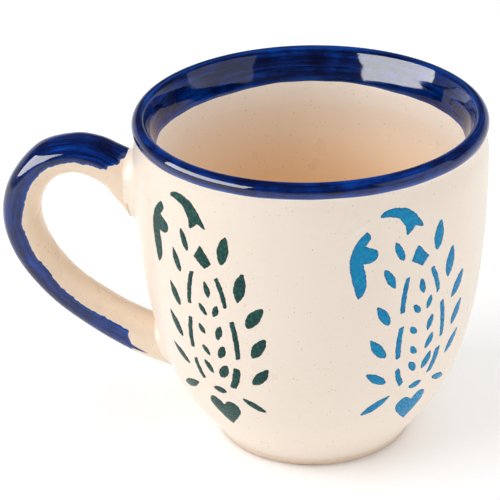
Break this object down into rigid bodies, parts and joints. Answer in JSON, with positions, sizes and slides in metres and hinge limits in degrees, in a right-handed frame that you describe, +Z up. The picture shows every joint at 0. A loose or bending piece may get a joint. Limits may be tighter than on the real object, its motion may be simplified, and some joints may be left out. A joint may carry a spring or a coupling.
{
  "type": "stoneware mug",
  "caption": "Round-bellied stoneware mug with a looped strap handle, a cobalt rim band and handle stripe, and painted leaf sprigs round the wall.",
  "frame": {"origin": "centre of the foot's flat resting face, on the cup's axis", "axes": "+Z up the cup's axis to the mouth, -X out along the handle, +Y to the far side of a cup seen with its handle on the left"},
  "size_m": [0.1264, 0.0902, 0.0898],
  "materials": {
    "bare_clay": "matt unglazed stoneware",
    "cream_glaze": "glossy cream glaze with fine iron speckles",
    "inside_glaze": "satin warm liner glaze with fine speckles",
    "cobalt_glaze": "glossy brushed cobalt blue",
    "green_paint": "mottled dark green underglaze",
    "blue_paint": "mottled sky blue underglaze"
  },
  "bodies": {
    "root": {"stoneware_body": "bare_clay", "inner_glaze": "inside_glaze", "outer_glaze": "cream_glaze", "rim_band": "cobalt_glaze", "handle": "bare_clay", "handle_glaze": "cream_glaze", "handle_stripe": "cobalt_glaze", "upper_handle_slip": "cream_glaze", "lower_handle_slip": "cream_glaze", "front_green_sprig": "green_paint", "front_blue_sprig": "blue_paint", "back_green_sprig": "green_paint", "back_blue_sprig": "blue_paint"}
  },
  "joints": []
}
